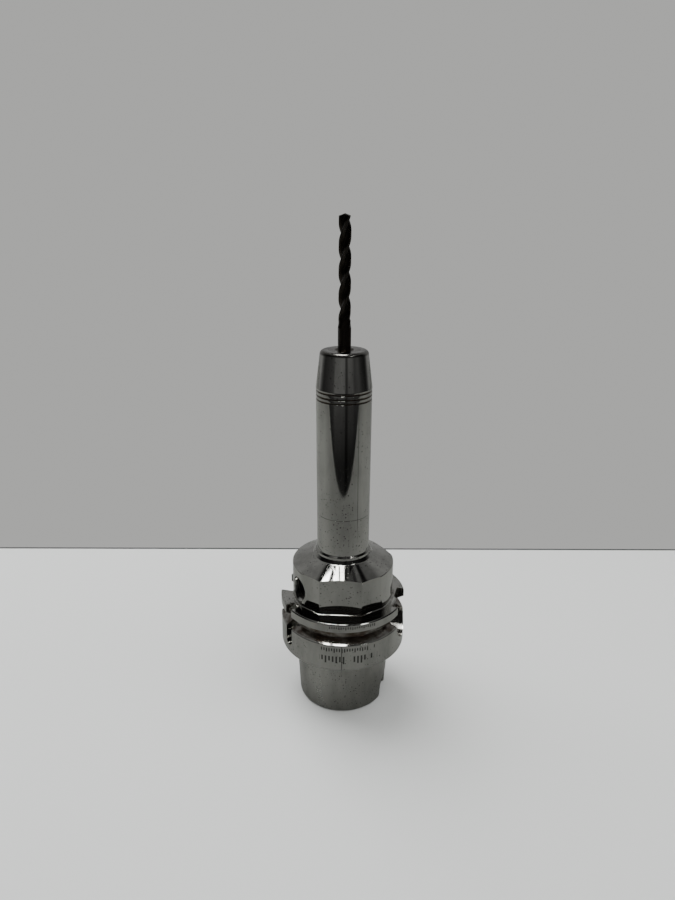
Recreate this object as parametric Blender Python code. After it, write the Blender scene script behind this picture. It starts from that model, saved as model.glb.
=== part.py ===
"""Hydraulic expansion chuck with an HSK-A63 shank and a 6 mm drill.

The chuck stands on its shank. The origin is on its axis at the shank end, +Z runs along the
axis towards the drill, and +X points to the wider of the two driving slots in the flange.
Lengths are in millimetres here and MM turns them into metres. Azimuths are in degrees about +Z.
"""
import math

import bmesh
import bpy
from mathutils import Vector

MM = 0.001
GAP = 0.3                     # clearance left between pieces that touch

# --- shank, flange and body -------------------------------------------------------------
SHANK_LENGTH = 32.0           # contact face height above the shank end
GAUGE_RADIUS = 24.0           # taper radius at the contact face
TAPER = 0.05                  # radius lost per millimetre, a 1:10 taper
UNDERCUT_START = 30.5         # the taper ends here, in an undercut
UNDERCUT_RADIUS = 23.3
FACE_RELIEF_RADIUS = 24.3     # the contact face starts outside this shallow recess
FACE_RELIEF_DEPTH = 0.5
FLANGE_RADIUS = 31.5
FLANGE_TOP = 58.0
GROOVE_Z = 50.0               # middle of the gripper groove
GROOVE_HALF = 3.7
GROOVE_RADIUS = 27.5
GROOVE_FLOOR_HALF = GROOVE_HALF - (FLANGE_RADIUS - GROOVE_RADIUS) * math.tan(math.radians(30))
BODY_RADIUS = 25.3
BODY_TOP = 75.0
CONE_BASE = (24.4, 76.3)
CONE_TOP = (14.5, 80.4)
NECK_RADIUS = 12.9
NECK_START = 83.6
JOINT_Z = 102.7               # seam between the base and the neck
SPIGOT_RADIUS = 10.3
SPIGOT_START = 88.0

# --- shank cavity and coolant supply ------------------------------------------------------
CAVITY_RADIUS = 17.0
RECESS_RADIUS = 18.5
CAVITY_DEPTH = 27.0
NUT_BORE_RADIUS = 9.0
NUT_BORE_END = 39.2
COOLANT_RADIUS = 3.6          # coolant bore up the middle
TUBE_PIVOT_Z = 36.1           # middle of the coolant tube's collar

# --- cut-outs -----------------------------------------------------------------------------
KEYWAY_HALF = 6.27
KEYWAY_ROUND_Z = 6.5
WIDE_SLOT = {"azimuth": 0, "half": 9.0, "floor": 26.5, "low": 46.1, "high": 70.0}
NARROW_SLOT = {"azimuth": 180, "half": 8.0, "floor": 24.0, "low": 46.1, "high": 58.0}
INDEX_NOTCH = {"azimuth": 226.4, "half": 2.6, "floor": 27.3, "low": 39.0, "high": 64.0}
FRONT_FLAT_AZIMUTH = 281.5
SIDE_FLAT_STEP = 36.3
FLATS = [
    (FRONT_FLAT_AZIMUTH, 23.1),
    (FRONT_FLAT_AZIMUTH - SIDE_FLAT_STEP, 24.65),
    (FRONT_FLAT_AZIMUTH + SIDE_FLAT_STEP, 24.65),
    (50.0, 22.5),
]
CHIP_AZIMUTH = 90.0
CHIP_BORE_RADIUS = 5.0
CHIP_BORE_FLOOR = 22.9

# --- hydraulic system ---------------------------------------------------------------------
SCREW_AZIMUTH = 224.5
SCREW_Z = 66.0
SCREW_BORE_RADIUS = 5.6
SCREW_RADIUS = 5.3
SCREW_INNER = 16.8            # distance of the screw's inner end from the chuck's axis
SCREW_OUTER = 22.0
PISTON_BORE_RADIUS = 4.0
PISTON_BORE_FLOOR = 6.0
PISTON_BORE_END = 16.0
GALLERY_DISTANCE = 7.2        # distance of the oil gallery from the chuck's axis
GALLERY_RADIUS = 1.0
GALLERY_TOP = 168.0
PLUG_BORE_RADIUS = 1.6
PLUG_BORE_TOP = 45.0
BLEED_Z = 68.4
BLEED_DUCT_RADIUS = 0.8       # from the gallery outward: duct, cone seat, ball, screw
BLEED_SEAT_START = 13.0
BLEED_SEAT_RADIUS = 1.9
BLEED_SEAT_END = 14.1
BLEED_BALL_DISTANCE = 14.55
BLEED_BALL_RADIUS = 1.5
BLEED_BORE_START = 15.6
BLEED_BORE_RADIUS = 2.75
BLEED_SCREW_START = 16.2
BLEED_SCREW_END = 22.2
BLEED_SCREW_RADIUS = 2.5
SOCKET_SMALL = 1.44           # corner radius of a 2.5 mm hexagon socket
SOCKET_LARGE = 2.89           # corner radius of a 5 mm hexagon socket
SOCKET_LARGE_DEPTH = 3.2
PISTON_FRONT = 11.4
RING_INNER = 1.75             # bore of the piston's seal and backup ring

# --- nose, sleeve and tool ----------------------------------------------------------------
NOSE_Z = 182.0
NOSE_CONE_START = (13.05, 164.8)
NOSE_CONE_END = (11.1, 180.4)
NOSE_FACE_RADIUS = 10.0
RIB_GROOVES = (159.8, 161.7, 163.8)
RIB_GROOVE_DEPTH = 0.4
SLEEVE_BOTTOM = 138.3
SLEEVE_RADIUS = 7.0
TOOL_RADIUS = 3.0
TOOL_BORE_RADIUS = 3.06
STOP_BORE_RADIUS = 2.8        # threaded part of the sleeve, for the stop screw
STOP_BORE_TOP = 143.0
CHAMBER_RADIUS = 5.6
CHAMBERS = ((151.0, 160.0), (165.0, 174.0))
DRILL_BOTTOM = 157.7
DRILL_SHANK_TOP = 191.7
DRILL_FLUTE_START = 195.0
DRILL_TIP = 239.7
FLUTED_RADIUS = 2.75
FLUTE_LEAD = 31.8
FLUTE_COUNT = 3
FLUTE_CORE = 0.45             # core radius as a share of the fluted radius
LAND_HALF_ANGLE = 12.0
POINT_SLOPE = math.tan(math.radians(20))     # a 140 degree point
LAND_AZIMUTH_AT_TIP = 224.75  # azimuth of one land at the tip

MATERIALS = {
    "tool_steel": ((0.42, 0.42, 0.41), 0.16, 1.0),
    "ground_steel": ((0.40, 0.40, 0.39), 0.35, 1.0),
    "black_steel": ((0.06, 0.06, 0.06), 0.45, 1.0),
    "bright_steel": ((0.55, 0.55, 0.55), 0.2, 1.0),
    "carbide": ((0.07, 0.065, 0.07), 0.3, 1.0),
    "seal_rubber": ((0.02, 0.02, 0.02), 0.6, 0.0),
    "ptfe": ((0.8, 0.8, 0.76), 0.5, 0.0),
    "chip_plastic": ((0.03, 0.03, 0.035), 0.5, 0.0),
}


def clear_scene():
    """Remove every object of the start-up scene."""
    for obj in list(bpy.data.objects):
        bpy.data.objects.remove(obj)


def material(name):
    """Return the named finish, made on first use."""
    if name in bpy.data.materials:
        return bpy.data.materials[name]
    color, roughness, metallic = MATERIALS[name]
    mat = bpy.data.materials.new(name)
    mat.use_nodes = True
    shader = mat.node_tree.nodes["Principled BSDF"]
    shader.inputs["Base Color"].default_value = (*color, 1.0)
    shader.inputs["Roughness"].default_value = roughness
    shader.inputs["Metallic"].default_value = metallic
    mat.diffuse_color = (*color, 1.0)
    return mat


def add_object(name, bm, finish=None):
    """Put a bmesh into the scene as one smooth-shaded object."""
    bmesh.ops.recalc_face_normals(bm, faces=bm.faces)
    mesh = bpy.data.meshes.new(name)
    bm.to_mesh(mesh)
    bm.free()
    mesh.shade_smooth()
    mesh.set_sharp_from_angle(angle=math.radians(30))
    obj = bpy.data.objects.new(name, mesh)
    bpy.context.scene.collection.objects.link(obj)
    if finish:
        mesh.materials.append(material(finish))
    return obj


def turned(name, outline, segments, finish=None):
    """Turn a closed outline of (radius, height) points once around the Z axis."""
    bm = bmesh.new()
    verts = [bm.verts.new((radius * MM, 0, height * MM)) for radius, height in outline]
    sides = [(a, b) for a, b in zip(verts, verts[1:] + verts[:1]) if a.co.x > 0 or b.co.x > 0]
    edges = [bm.edges.new(side) for side in sides]
    bmesh.ops.spin(
        bm, geom=verts + edges, axis=(0, 0, 1), cent=(0, 0, 0),
        angle=math.tau, steps=segments, use_merge=True,
    )
    bmesh.ops.remove_doubles(bm, verts=bm.verts, dist=1e-7)
    bmesh.ops.dissolve_degenerate(bm, edges=bm.edges, dist=1e-7)
    return add_object(name, bm, finish)


def prism(name, outline, low, high, finish=None):
    """Extrude a closed (x, y) outline from height low to height high."""
    bm = bmesh.new()
    base = bm.faces.new([bm.verts.new((x * MM, y * MM, low * MM)) for x, y in outline])
    extruded = bmesh.ops.extrude_face_region(bm, geom=[base])
    top = [item for item in extruded["geom"] if isinstance(item, bmesh.types.BMVert)]
    bmesh.ops.translate(bm, verts=top, vec=(0, 0, (high - low) * MM))
    return add_object(name, bm, finish)


def ball(name, radius, finish, segments=20):
    """A sphere about the object's own origin."""
    bm = bmesh.new()
    bmesh.ops.create_uvsphere(
        bm, u_segments=segments, v_segments=segments // 2, radius=radius * MM)
    return add_object(name, bm, finish)


def seal_ring(name, middle_radius, half_thickness, height, finish, segments=28, around=8):
    """A ring of round section about the Z axis."""
    angles = [math.tau * i / around for i in range(around)]
    outline = [
        (middle_radius + half_thickness * math.cos(a), height + half_thickness * math.sin(a))
        for a in angles
    ]
    return turned(name, outline, segments, finish)


def polygon(radius, sides, turn=0.0):
    """Corner points of a regular polygon of the given corner radius."""
    angles = [turn + math.tau * i / sides for i in range(sides)]
    return [(radius * math.cos(a), radius * math.sin(a)) for a in angles]


def lay_radially(obj, azimuth, height=0.0, start=(0.0, 0.0)):
    """Turn an object's own +Z outward along an azimuth and put its origin at a height."""
    obj.rotation_euler = (0, math.pi / 2, math.radians(azimuth))
    obj.location = (start[0] * MM, start[1] * MM, height * MM)
    return obj


def cut(target, *cutters):
    """Subtract cutters, which stay in the scene as hidden guides."""
    for cutter in cutters:
        cutter.hide_render = True
        cutter.display_type = "WIRE"
        boolean = target.modifiers.new(cutter.name, "BOOLEAN")
        boolean.operation = "DIFFERENCE"
        boolean.solver = "EXACT"
        boolean.object = cutter


def hex_socket(target, name, corner_radius, bottom, mouth):
    """Cut a hexagon socket between two heights on the target's own axis."""
    cutter = prism(name, polygon(corner_radius, 6), bottom, mouth)
    cutter.parent = target
    cut(target, cutter)


def gallery_point():
    """Centre of the oil gallery in plan."""
    azimuth = math.radians(SCREW_AZIMUTH)
    return GALLERY_DISTANCE * math.cos(azimuth), GALLERY_DISTANCE * math.sin(azimuth)


def round_slot(name, azimuth, half, floor, low, high, outside=40.0, steps=12):
    """Cutter for a radial slot with a full-radius end, as an end mill leaves it."""
    lower = [(math.pi * (i / steps - 0.5)) for i in range(steps + 1)]
    outline = [(-low + half * math.cos(a), half * math.sin(a)) for a in lower]
    outline += [(-high - half * math.cos(a), -half * math.sin(a)) for a in lower]
    return lay_radially(prism(name, outline, floor, outside), azimuth)


def keyway_cutter(name, azimuth, steps=12):
    """Cutter for a driving keyway through the wall of the shank, open at its end."""
    angles = [(math.pi * (i / steps - 0.5)) for i in range(steps + 1)]
    outline = [
        (-KEYWAY_ROUND_Z - KEYWAY_HALF * math.cos(a), -KEYWAY_HALF * math.sin(a)) for a in angles
    ]
    outline += [(2.0, -KEYWAY_HALF), (2.0, KEYWAY_HALF)]
    return lay_radially(prism(name, outline, 13.0, 28.0), azimuth)


def flat_cutter(index, azimuth, distance):
    """Cutter for a flat milled down the side of the body, above the flange."""
    side = 14.0
    outline = [(-side, distance), (-side, 30.0), (side, 30.0), (side, distance)]
    cutter = prism(f"flat_cutter_{index}", outline, FLANGE_TOP + 0.02, BODY_TOP + 2.5)
    cutter.rotation_euler = (0, 0, math.radians(azimuth - 90))
    return cutter


def gallery_cutter(name, low, high, radius=GALLERY_RADIUS):
    """Cutter for the upright oil gallery."""
    cutter = prism(name, polygon(radius, 12), low, high)
    x, y = gallery_point()
    cutter.location = (x * MM, y * MM, 0)
    return cutter


def make_holder_base():
    """Shank, flange and body: one piece, up to the seam in the neck."""
    shank_end_radius = GAUGE_RADIUS - TAPER * SHANK_LENGTH
    outline = [
        (shank_end_radius - 1.0, 0), (shank_end_radius + TAPER, 1.0),
        (GAUGE_RADIUS - 0.1, UNDERCUT_START), (UNDERCUT_RADIUS, UNDERCUT_START + 0.5),
        (UNDERCUT_RADIUS, SHANK_LENGTH + FACE_RELIEF_DEPTH),
        (FACE_RELIEF_RADIUS, SHANK_LENGTH + FACE_RELIEF_DEPTH), (FACE_RELIEF_RADIUS, SHANK_LENGTH),
        (FLANGE_RADIUS - 0.5, SHANK_LENGTH), (FLANGE_RADIUS, SHANK_LENGTH + 0.5),
        (FLANGE_RADIUS, GROOVE_Z - GROOVE_HALF), (GROOVE_RADIUS, GROOVE_Z - GROOVE_FLOOR_HALF),
        (GROOVE_RADIUS, GROOVE_Z + GROOVE_FLOOR_HALF), (FLANGE_RADIUS, GROOVE_Z + GROOVE_HALF),
        (FLANGE_RADIUS, FLANGE_TOP - 0.5), (FLANGE_RADIUS - 0.5, FLANGE_TOP),
        (BODY_RADIUS + 0.6, FLANGE_TOP), (BODY_RADIUS, FLANGE_TOP + 0.6),
        (BODY_RADIUS, BODY_TOP), (BODY_RADIUS - 0.3, BODY_TOP + 0.8), CONE_BASE,
        CONE_TOP, (13.9, 81.3), (13.8, 82.6), (NECK_RADIUS, NECK_START),
        (NECK_RADIUS, JOINT_Z - GAP / 2), (SPIGOT_RADIUS + GAP, JOINT_Z - GAP / 2),
        (SPIGOT_RADIUS + GAP, SPIGOT_START - GAP), (COOLANT_RADIUS, SPIGOT_START - GAP),
        (COOLANT_RADIUS, NUT_BORE_END), (NUT_BORE_RADIUS, NUT_BORE_END),
        (NUT_BORE_RADIUS, CAVITY_DEPTH), (13.0, CAVITY_DEPTH), (RECESS_RADIUS, 21.5),
        (RECESS_RADIUS, 10.6), (CAVITY_RADIUS, 8.0), (CAVITY_RADIUS, 0.6), (CAVITY_RADIUS + 0.6, 0),
    ]
    base = turned("holder_base", outline, 48, "tool_steel")
    cut(base, keyway_cutter("keyway_cutter_a", 0), keyway_cutter("keyway_cutter_b", 180))
    cut(base, round_slot("wide_slot_cutter", **WIDE_SLOT))
    cut(base, round_slot("narrow_slot_cutter", **NARROW_SLOT))
    cut(base, round_slot("notch_cutter", **INDEX_NOTCH))
    for index, (azimuth, distance) in enumerate(FLATS):
        cut(base, flat_cutter(index, azimuth, distance))

    screw_bore = turned("screw_bore_cutter", [
        (0, PISTON_BORE_FLOOR), (PISTON_BORE_RADIUS, PISTON_BORE_FLOOR),
        (PISTON_BORE_RADIUS, PISTON_BORE_END), (SCREW_BORE_RADIUS, PISTON_BORE_END),
        (SCREW_BORE_RADIUS, BODY_RADIUS - 0.4), (SCREW_BORE_RADIUS + 1.6, BODY_RADIUS + 1.2),
        (0, BODY_RADIUS + 1.2),
    ], 28)
    cut(base, lay_radially(screw_bore, SCREW_AZIMUTH, SCREW_Z))
    bleed_bore = turned("bleed_bore_cutter", [
        (0, 0), (BLEED_DUCT_RADIUS, 0), (BLEED_DUCT_RADIUS, BLEED_SEAT_START),
        (BLEED_SEAT_RADIUS, BLEED_SEAT_END), (BLEED_SEAT_RADIUS, BLEED_BORE_START),
        (BLEED_BORE_RADIUS, BLEED_BORE_START), (BLEED_BORE_RADIUS, 30.0), (0, 30.0),
    ], 20)
    cut(base, lay_radially(bleed_bore, SCREW_AZIMUTH - 90, BLEED_Z, gallery_point()))
    cut(base, gallery_cutter("base_gallery_cutter", PLUG_BORE_TOP - 1.0, SPIGOT_START + 1.0))
    cut(base, gallery_cutter(
        "plug_bore_cutter", NUT_BORE_END - 1.0, PLUG_BORE_TOP, PLUG_BORE_RADIUS))
    chip_bore = prism("chip_bore_cutter", polygon(CHIP_BORE_RADIUS, 28), CHIP_BORE_FLOOR, 35.0)
    cut(base, lay_radially(chip_bore, CHIP_AZIMUTH, GROOVE_Z))


def make_neck_tube():
    """Slim neck with its spigot, the three rib grooves and the tapered nose."""
    outline = [(SPIGOT_RADIUS, SPIGOT_START), (SPIGOT_RADIUS, JOINT_Z + GAP / 2)]
    outline += [(NECK_RADIUS, JOINT_Z + GAP / 2), (NECK_RADIUS + 0.05, 130.0)]
    for middle in RIB_GROOVES:
        edge = NOSE_CONE_START[0] - 0.02
        floor = edge - RIB_GROOVE_DEPTH
        outline += [(edge, middle - 0.45), (floor, middle - 0.2)]
        outline += [(floor, middle + 0.2), (edge, middle + 0.45)]
    outline += [NOSE_CONE_START, NOSE_CONE_END, (10.7, 181.5), (NOSE_FACE_RADIUS, NOSE_Z)]
    outline += [
        (SLEEVE_RADIUS + GAP, NOSE_Z), (SLEEVE_RADIUS + GAP, SLEEVE_BOTTOM - GAP),
        (COOLANT_RADIUS, SLEEVE_BOTTOM - GAP), (COOLANT_RADIUS, SPIGOT_START),
    ]
    neck = turned("neck_tube", outline, 40, "tool_steel")
    cut(neck, gallery_cutter("neck_gallery_cutter", SPIGOT_START - 1.0, GALLERY_TOP))


def make_expansion_sleeve():
    """Thin-walled sleeve around the tool, with two oil chambers turned into its outside."""
    outline = [(TOOL_BORE_RADIUS, NOSE_Z - 1.4), (TOOL_BORE_RADIUS + 1.4, NOSE_Z), (SLEEVE_RADIUS, NOSE_Z)]
    for low, high in reversed(CHAMBERS):
        outline += [(SLEEVE_RADIUS, high), (CHAMBER_RADIUS, high)]
        outline += [(CHAMBER_RADIUS, low), (SLEEVE_RADIUS, low)]
    outline += [
        (SLEEVE_RADIUS, SLEEVE_BOTTOM), (STOP_BORE_RADIUS, SLEEVE_BOTTOM),
        (STOP_BORE_RADIUS, STOP_BORE_TOP), (TOOL_BORE_RADIUS, STOP_BORE_TOP),
    ]
    turned("expansion_sleeve", outline, 32, "ground_steel")


def make_clamping_train():
    """Clamping screw, thrust ball, piston, backup ring and seal, all on one radial axis."""
    screw = turned("clamping_screw", [
        (0, SCREW_INNER + 1.2), (0.9, SCREW_INNER + 1.2), (2.2, SCREW_INNER),
        (SCREW_RADIUS - 0.5, SCREW_INNER), (SCREW_RADIUS, SCREW_INNER + 0.5),
        (SCREW_RADIUS, SCREW_OUTER - 0.5), (SCREW_RADIUS - 0.5, SCREW_OUTER), (0, SCREW_OUTER),
    ], 28, "black_steel")
    hex_socket(screw, "clamping_socket_cutter", SOCKET_LARGE, SCREW_OUTER - SOCKET_LARGE_DEPTH,
               SCREW_OUTER + 1.0)
    piston_back = SCREW_INNER - 1.8
    piston = turned("clamping_piston", [
        (0, 8.8), (1.5, 8.8), (1.5, PISTON_FRONT), (PISTON_BORE_RADIUS - GAP, PISTON_FRONT),
        (PISTON_BORE_RADIUS - GAP, piston_back), (2.2, piston_back), (0.6, piston_back - 1.6),
        (0, piston_back - 1.6),
    ], 24, "bright_steel")
    ring_outer = PISTON_BORE_RADIUS - 0.2
    seal = turned("piston_seal", [
        (RING_INNER, 8.7), (2.4, 9.3), (3.1, 9.3), (ring_outer, 8.7), (ring_outer, 10.2), (RING_INNER, 10.2),
    ], 24, "seal_rubber")
    backup = turned("piston_backup_ring", [
        (RING_INNER, 10.4), (ring_outer, 10.4), (ring_outer, 11.15), (RING_INNER, 11.15),
    ], 24, "ptfe")
    for piece in (screw, piston, seal, backup):
        lay_radially(piece, SCREW_AZIMUTH, SCREW_Z)
    thrust = ball("thrust_ball", 2.0, "bright_steel")
    middle = (SCREW_INNER + piston_back) / 2
    azimuth = math.radians(SCREW_AZIMUTH)
    thrust.location = Vector((math.cos(azimuth) * middle, math.sin(azimuth) * middle, SCREW_Z)) * MM


def make_bleed_and_plugs():
    """Bleed screw on its ball, and the expander plug that closes the drilled gallery."""
    x, y = gallery_point()
    screw = turned("bleed_screw", [
        (0, BLEED_SCREW_START), (BLEED_SCREW_RADIUS - 0.4, BLEED_SCREW_START),
        (BLEED_SCREW_RADIUS, BLEED_SCREW_START + 0.4), (BLEED_SCREW_RADIUS, BLEED_SCREW_END - 0.4),
        (BLEED_SCREW_RADIUS - 0.4, BLEED_SCREW_END), (0, BLEED_SCREW_END),
    ], 20, "black_steel")
    hex_socket(screw, "bleed_socket_cutter", SOCKET_SMALL, 19.9, 23.0)
    lay_radially(screw, SCREW_AZIMUTH - 90, BLEED_Z, (x, y))
    azimuth = math.radians(SCREW_AZIMUTH - 90)
    bleed_ball = ball("bleed_ball", BLEED_BALL_RADIUS, "bright_steel", 16)
    bleed_ball.location = Vector((
        x + BLEED_BALL_DISTANCE * math.cos(azimuth), y + BLEED_BALL_DISTANCE * math.sin(azimuth), BLEED_Z,
    )) * MM
    shell = turned("gallery_plug_shell", [
        (0, 44.4), (1.4, 44.4), (1.4, 40.4), (1.0, 40.4), (1.0, 43.9), (0, 43.9),
    ], 16, "bright_steel")
    shell.location = (x * MM, y * MM, 0)
    plug_ball = ball("gallery_plug_ball", 0.85, "bright_steel", 12)
    plug_ball.location = (x * MM, y * MM, 42.6 * MM)


def make_coolant_set():
    """Coolant tube with its collar, the threaded nut that holds it and its two seal rings."""
    tube = turned("coolant_tube", [
        (4.4, 3.0), (5.6, 3.0), (6.0, 3.6), (6.0, 35.2), (8.0, 35.2), (8.0, 37.0), (4.0, 37.0), (4.0, 3.4),
    ], 32, "ground_steel")
    nut = turned("coolant_tube_nut", [
        (6.6, 27.6), (8.4, 27.6), (8.7, 27.9), (8.7, 33.0), (6.6, 33.0),
    ], 32, "ground_steel")
    for index in range(2):
        slot = prism(f"nut_slot_cutter_{index}", [(-10, -1), (10, -1), (10, 1), (-10, 1)], 26.0, 29.4)
        slot.rotation_euler = (0, 0, math.radians(45 + 90 * index))
        cut(nut, slot)
    seal_ring("coolant_seal_front", 4.95, 0.65, 38.1, "seal_rubber")
    seal_ring("coolant_seal_rear", 7.35, 0.7, 34.1, "seal_rubber")
    move_origin(tube, TUBE_PIVOT_Z)


def move_origin(obj, height):
    """Put an upright object's origin at a height on the axis, without moving its surface."""
    for vert in obj.data.vertices:
        vert.co.z -= height * MM
    obj.location.z = height * MM


def make_stop_screw():
    """Length stop under the tool: a hollow threaded screw with a seal ring near its top."""
    top = DRILL_BOTTOM - GAP
    screw = turned("stop_screw", [
        (0.75, 137.4), (2.1, 137.4), (2.5, 137.8), (2.5, top - 4.4), (1.8, top - 4.4),
        (1.8, top - 2.4), (2.7, top - 2.4), (2.7, top - 0.3), (2.4, top), (0.75, top),
    ], 24, "black_steel")
    hex_socket(screw, "stop_socket_cutter", SOCKET_SMALL, 136.0, 140.4)
    seal_ring("stop_screw_seal", 2.45, 0.45, top - 3.4, "seal_rubber", 24)


def make_data_chip():
    """Round data carrier pressed into the flange, its face flush with the groove floor."""
    chip = prism("data_chip", polygon(CHIP_BORE_RADIUS - GAP, 28), CHIP_BORE_FLOOR + GAP, GROOVE_RADIUS - 0.3,
                 "chip_plastic")
    lay_radially(chip, CHIP_AZIMUTH, GROOVE_Z)


def flute_radius(turn):
    """Radius of the fluted section at an angle from a land's middle, as a share of full."""
    pitch = math.tau / FLUTE_COUNT
    away = abs((turn + pitch / 2) % pitch - pitch / 2)
    land = math.radians(LAND_HALF_ANGLE)
    if away <= land:
        return 1.0
    share = (away - land) / (pitch / 2 - land)
    return 1.0 - (1.0 - FLUTE_CORE) * math.sin(share * math.pi / 2) ** 0.8


def make_drill_bit():
    """Solid carbide drill: plain shank, then right-hand helical flutes to the point."""
    around = 36
    step = 1.5
    fluted = DRILL_TIP - DRILL_FLUTE_START - FLUTED_RADIUS * POINT_SLOPE
    levels = [(DRILL_BOTTOM, TOOL_RADIUS - 0.4, 0), (DRILL_BOTTOM + 0.4, TOOL_RADIUS, 0)]
    levels += [(DRILL_SHANK_TOP, TOOL_RADIUS, 0), (DRILL_FLUTE_START, FLUTED_RADIUS, 0)]
    count = round(fluted / step)
    for i in range(1, count + 1):
        height = DRILL_FLUTE_START + fluted * i / count
        depth = min(1.0, (height - DRILL_FLUTE_START) / 5.0)
        levels.append((height, FLUTED_RADIUS, math.sin(depth * math.pi / 2)))
    bm = bmesh.new()
    rings = []
    for height, radius, depth in levels:
        land = math.radians(LAND_AZIMUTH_AT_TIP) - math.tau * (DRILL_TIP - height) / FLUTE_LEAD
        ring = []
        for k in range(around):
            turn = math.tau * k / around
            share = 1.0 - depth * (1.0 - flute_radius(turn))
            lift = (1.0 - share) * radius * POINT_SLOPE if height == levels[-1][0] else 0.0
            azimuth = land + turn
            ring.append(bm.verts.new((
                radius * share * math.cos(azimuth) * MM,
                radius * share * math.sin(azimuth) * MM,
                (height + lift) * MM,
            )))
        rings.append(ring)
    for low, high in zip(rings, rings[1:]):
        for k in range(around):
            n = (k + 1) % around
            bm.faces.new((low[k], low[n], high[n]))
            bm.faces.new((low[k], high[n], high[k]))
    bm.faces.new(list(reversed(rings[0])))
    tip = bm.verts.new((0, 0, DRILL_TIP * MM))
    for k in range(around):
        bm.faces.new((rings[-1][k], rings[-1][(k + 1) % around], tip))
    add_object("drill_bit", bm, "carbide")


def main():
    """Build every piece of the chuck."""
    clear_scene()
    make_holder_base()
    make_neck_tube()
    make_expansion_sleeve()
    make_clamping_train()
    make_bleed_and_plugs()
    make_coolant_set()
    make_stop_screw()
    make_data_chip()
    make_drill_bit()


main()
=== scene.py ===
# %% [markdown]
# # A hydraulic drill chuck, turned, milled and polished
#
# This lesson builds the looks of a slim machine-tool chuck around its CAD frame. The frame is
# loaded once, and every size that two pieces share is read from it, so the fine surfaces land
# exactly where the plain solids are. The chuck's axis is +Z and it stands on its shank end.

# %% Load the frame and measure it
import math

import bmesh
import bpy
import numpy as np
from mathutils import Matrix, Vector


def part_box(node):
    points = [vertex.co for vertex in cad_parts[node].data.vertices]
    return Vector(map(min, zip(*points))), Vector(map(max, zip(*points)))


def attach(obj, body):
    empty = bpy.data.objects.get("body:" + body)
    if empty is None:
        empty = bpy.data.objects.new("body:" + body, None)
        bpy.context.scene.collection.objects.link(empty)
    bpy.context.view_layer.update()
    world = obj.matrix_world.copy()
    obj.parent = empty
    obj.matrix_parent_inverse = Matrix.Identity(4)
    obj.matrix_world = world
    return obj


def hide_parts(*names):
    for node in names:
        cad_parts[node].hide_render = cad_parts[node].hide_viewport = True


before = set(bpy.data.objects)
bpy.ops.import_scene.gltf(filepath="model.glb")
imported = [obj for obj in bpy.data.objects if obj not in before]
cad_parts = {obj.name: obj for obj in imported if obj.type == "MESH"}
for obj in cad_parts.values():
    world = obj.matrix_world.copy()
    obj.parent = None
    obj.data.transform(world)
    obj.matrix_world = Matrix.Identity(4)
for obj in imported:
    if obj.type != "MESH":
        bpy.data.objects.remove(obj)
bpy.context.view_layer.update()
MM = 0.001


def reach(name, axis=2):
    """Lowest and highest coordinate of a CAD node along an axis, in millimetres."""
    low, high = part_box(name)
    return low[axis] / MM, high[axis] / MM


SEAM_Z = reach("holder_base")[1] + 0.15  # hairline joint between base and neck
NOSE_Z = reach("neck_tube")[1]
TIP_Z = reach("drill_bit")[1]
FLANGE_RADIUS = reach("holder_base", 1)[1]
print("dark_line", round(SEAM_Z, 2), "nose", round(NOSE_Z, 2), "tip", round(TIP_Z, 2))

# %% [markdown]
# ## Two small tools
#
# Colours are easiest to read as sRGB hex values, but Blender's shaders want linear numbers, so
# one function turns the first into the second. Another adds a node, with its settings and its
# links given in one call, which keeps a material as short as a recipe. The inputs of a map
# range, in order, are its value, two values of it and what those two become.

# %% Colour and node helpers


def linear(hex_color):
    """Turn '#rrggbb' in sRGB into a linear RGBA tuple."""
    share = np.array([int(hex_color[i:i + 2], 16) for i in (1, 3, 5)]) / 255
    low, high = share / 12.92, ((share + 0.055) / 1.055) ** 2.4
    return (*np.where(share <= 0.04045, low, high).tolist(), 1.0)


def feed(tree, target, inputs):
    """Set a node's inputs, given in order, or by name or number in a dictionary. Each is a
    plain value, a socket to link from, or a node, linked from its first active output."""
    if not isinstance(inputs, dict):
        inputs = dict(enumerate(inputs))
    for key, value in inputs.items():
        if isinstance(value, bpy.types.Node):
            value = next(output for output in value.outputs if output.enabled)
        if isinstance(value, bpy.types.NodeSocket):
            tree.links.new(value, target.inputs[key])
        else:
            target.inputs[key].default_value = value


def node(tree, kind, inputs=(), **settings):
    """Add a node with its settings and its inputs."""
    made = tree.nodes.new("ShaderNode" + kind)
    for name, value in settings.items():
        setattr(made, name, value)
    feed(tree, made, inputs)
    return made


def new_material(name, color, rough, metallic=1.0):
    """A Principled material with plain socket values, ready for patterns."""
    mat = bpy.data.materials.new(name)
    mat.use_nodes = True
    tree = mat.node_tree
    shader = tree.nodes["Principled BSDF"]
    feed(tree, shader, {
        "Base Color": linear(color), "Roughness": rough, "Metallic": metallic})
    return mat, tree, shader


# %% [markdown]
# Most patterns here are drawn by asking whether a number lies in a range, such as a height on
# the chuck. A window answers that with 1 inside, 0 outside and a soft edge between. Windows and
# other masks then overlap, or stand for either of two places, and a finish is built up from them
# as a painter does it: one base colour, and thin coats over it, each where its mask says.

# %% Masks and coats


def window(tree, value, low, high, soft):
    """1 where value lies between low and high, falling to 0 over a width of soft at each end."""
    rise = node(tree, "MapRange", (value, low - soft / 2, low + soft / 2))
    return node(tree, "MapRange", (value, high - soft / 2, high + soft / 2, rise, 0.0))


def overlap(tree, *masks):
    """1 where every mask is 1: the product of them all, and of any plain numbers among them."""
    result = masks[0]
    for mask in masks[1:]:
        result = node(tree, "Math", (result, mask), operation="MULTIPLY")
    return result


def either(tree, *masks):
    """1 where at least one mask is 1: the largest of them all."""
    result = masks[0]
    for mask in masks[1:]:
        result = node(tree, "Math", (result, mask), operation="MAXIMUM")
    return result


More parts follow.
